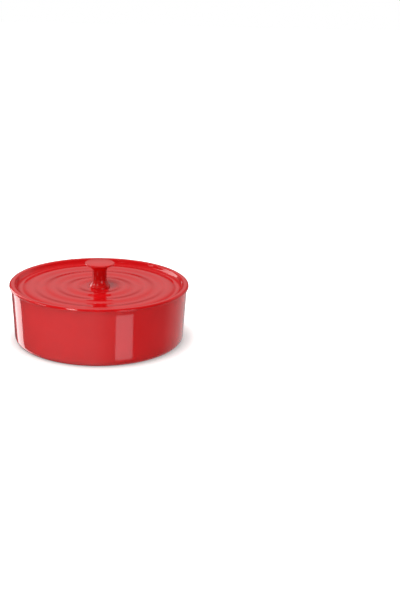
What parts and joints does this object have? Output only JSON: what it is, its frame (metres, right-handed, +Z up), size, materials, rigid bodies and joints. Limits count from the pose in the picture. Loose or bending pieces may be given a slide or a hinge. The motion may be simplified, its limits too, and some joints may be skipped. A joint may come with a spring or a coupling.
{
  "type": "tortilla warmer",
  "caption": "Round red tortilla warmer: a deep, thin-walled bowl with a loose, dished lid whose plug ring drops inside the rim, and a mushroom knob screwed on from below.",
  "frame": {"origin": "centre of the standing ring under the bowl, on the ground", "axes": "+Z up along the axis of the bowl, lid and knob; the object is round, so +X is any side"},
  "size_m": [0.2356, 0.2356, 0.1052],
  "materials": {
    "bowl_moulding": "glossy moulded melamine",
    "lid_moulding": "glossy moulded melamine",
    "knob_moulding": "glossy moulded melamine",
    "insert_brass": "turned and knurled",
    "stainless_steel": "satin",
    "silicone": "matte"
  },
  "bodies": {
    "bowl": {"bowl": "bowl_moulding"},
    "lid": {"lid": "lid_moulding", "knob_stem": "knob_moulding", "knob_cap": "knob_moulding", "knob_insert": "insert_brass", "knob_screw": "stainless_steel", "knob_washer": "stainless_steel", "knob_gasket": "silicone"}
  },
  "joints": [
    {"name": "lid_lift", "type": "slide", "parent": "bowl", "child": "lid", "axis": [0, 0, 1], "range_m": [0, 0.12]}
  ]
}
